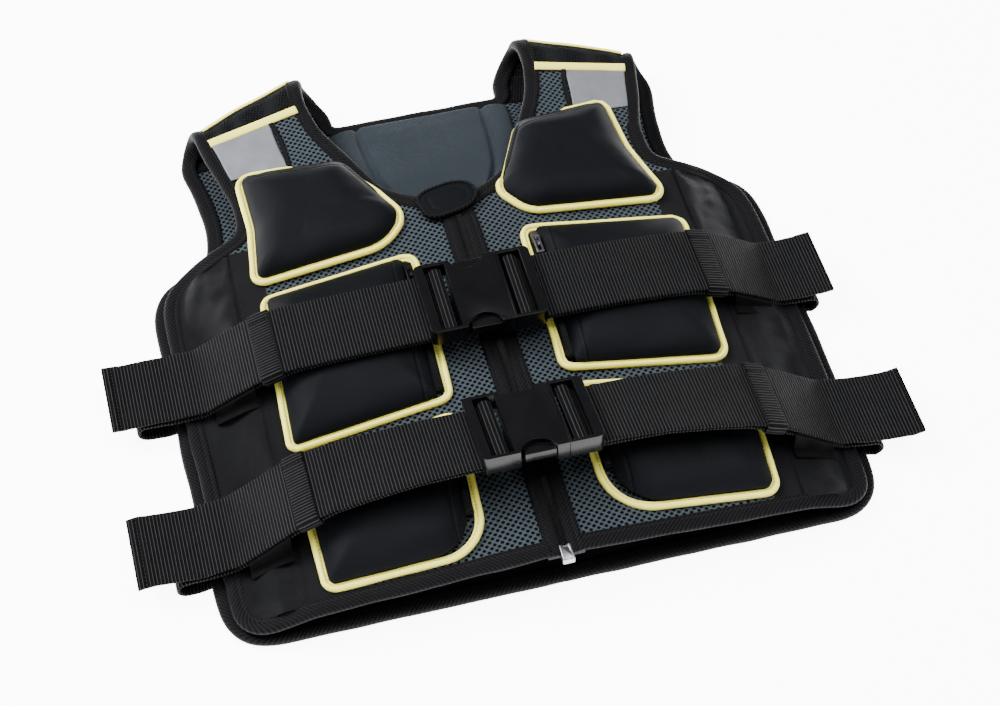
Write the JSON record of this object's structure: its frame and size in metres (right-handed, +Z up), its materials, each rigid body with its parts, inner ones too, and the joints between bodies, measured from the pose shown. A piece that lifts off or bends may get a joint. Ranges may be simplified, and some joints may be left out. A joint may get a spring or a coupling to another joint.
{
  "type": "weighted vest",
  "caption": "Zip-front weighted exercise vest lying on its back, with padded weight pockets, yellow piping, bound edges and fastened strap-and-buckle closures.",
  "frame": {"origin": "on the flat underside of the back panel, on the vest's middle line, about half way between the hem and the shoulder folds", "axes": "+X runs from the vest's left half in the picture to its right half, across the straps; +Y runs from the hem to the neck; +Z runs up from the floor, out of the front"},
  "size_m": [0.483, 0.426, 0.0701],
  "materials": {
    "air_mesh": "grey-blue polyester air mesh over a foam core, rows of small staggered holes",
    "side_fabric": "matte dark polyester knit over thin foam",
    "spacer_mesh": "black open spacer mesh",
    "lining": "grey-blue padded knit lining with an oval stitched seam",
    "neoprene": "blue-black neoprene with a fine matte knit face",
    "webbing": "black ribbed polyester webbing, matte with a slight sheen",
    "elastic": "black fine-ribbed woven elastic",
    "twill_tape": "black diagonal-twill binding tape",
    "satin_tape": "pale yellow satin tape, soft sheen",
    "reflective_cloth": "silver-grey reflective cloth",
    "zip_coil": "black nylon coil on woven tape",
    "zip_metal": "bright plated zinc",
    "buckle_plastic": "moulded black acetal, satin"
  },
  "bodies": {
    "root": {"front_panel_left": "air_mesh", "front_panel_right": "air_mesh", "side_panel_left": "side_fabric", "side_panel_right": "side_fabric", "shoulder_yoke_left": "spacer_mesh", "shoulder_yoke_right": "spacer_mesh", "shoulder_tape_upper_left": "satin_tape", "shoulder_tape_upper_right": "satin_tape", "shoulder_tape_lower_left": "satin_tape", "shoulder_tape_lower_right": "satin_tape", "reflective_patch_left": "reflective_cloth", "reflective_patch_right": "reflective_cloth", "edge_binding_left": "twill_tape", "edge_binding_right": "twill_tape", "zip_binding_left": "twill_tape", "zip_binding_right": "twill_tape", "back_panel": "neoprene", "neck_pad": "lining", "neck_binding": "twill_tape", "front_zip": "zip_coil", "zip_box": "zip_metal", "zip_tab": "neoprene", "piping_upper_left": "satin_tape", "piping_upper_right": "satin_tape", "piping_middle_left": "satin_tape", "piping_middle_right": "satin_tape", "piping_lower_left": "satin_tape", "piping_lower_right": "satin_tape", "pocket_upper_left": "neoprene", "pocket_upper_right": "neoprene", "pocket_middle_left": "neoprene", "pocket_middle_right": "neoprene", "pocket_lower_left": "neoprene", "pocket_lower_right": "neoprene", "pocket_zip_middle_left": "zip_coil", "pocket_zip_middle_right": "zip_coil", "pocket_zip_lower_left": "zip_coil", "pocket_zip_lower_right": "zip_coil", "strap_upper_left": "webbing", "strap_upper_right": "webbing", "strap_lower_left": "webbing", "strap_lower_right": "webbing", "keeper_upper_left": "elastic", "keeper_upper_right": "elastic", "keeper_lower_left": "elastic", "keeper_lower_right": "elastic", "guide_loop_upper_left": "webbing", "guide_loop_upper_right": "webbing", "guide_loop_lower_left": "webbing", "guide_loop_lower_right": "webbing", "buckle_socket_upper": "buckle_plastic", "buckle_socket_lower": "buckle_plastic", "buckle_plug_upper": "buckle_plastic", "buckle_plug_lower": "buckle_plastic"}
  },
  "joints": []
}
